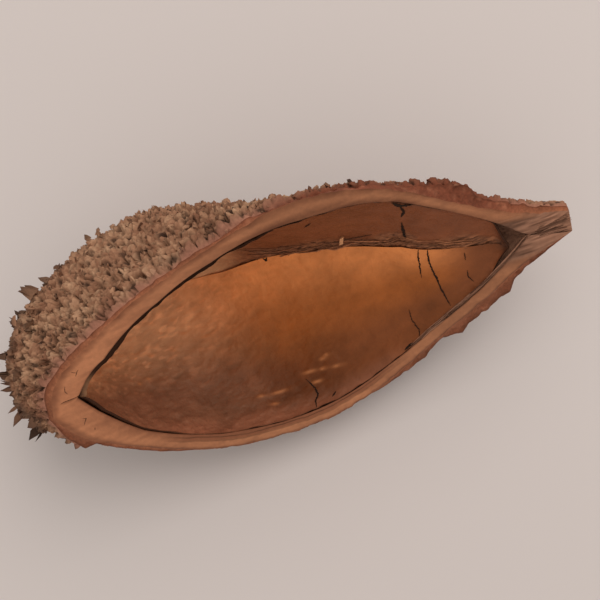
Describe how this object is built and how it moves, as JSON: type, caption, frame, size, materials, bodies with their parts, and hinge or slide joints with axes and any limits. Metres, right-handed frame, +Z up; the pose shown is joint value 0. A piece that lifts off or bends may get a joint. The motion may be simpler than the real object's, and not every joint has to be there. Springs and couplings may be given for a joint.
{
  "type": "opened fruit pod half",
  "caption": "Boat-shaped half of a dry woody fruit pod with a tubercled outside, smooth rim, stalk stub and a thin glossy lining in its hollow, lying on one flank.",
  "frame": {"origin": "middle of the small worn spot on the flank that the half lies on, under its weight", "axes": "+X along the pod from the blunt end to the stalk, +Z up, the mouth faces -Y and up"},
  "size_m": [0.1864, 0.0844, 0.0808],
  "materials": {
    "husk": "matte, scurfy tan tubercles with a smooth terracotta rim",
    "inner_lining": "smooth, glossy orange-brown"
  },
  "bodies": {
    "root": {"husk": "husk", "inner_lining": "inner_lining"}
  },
  "joints": []
}
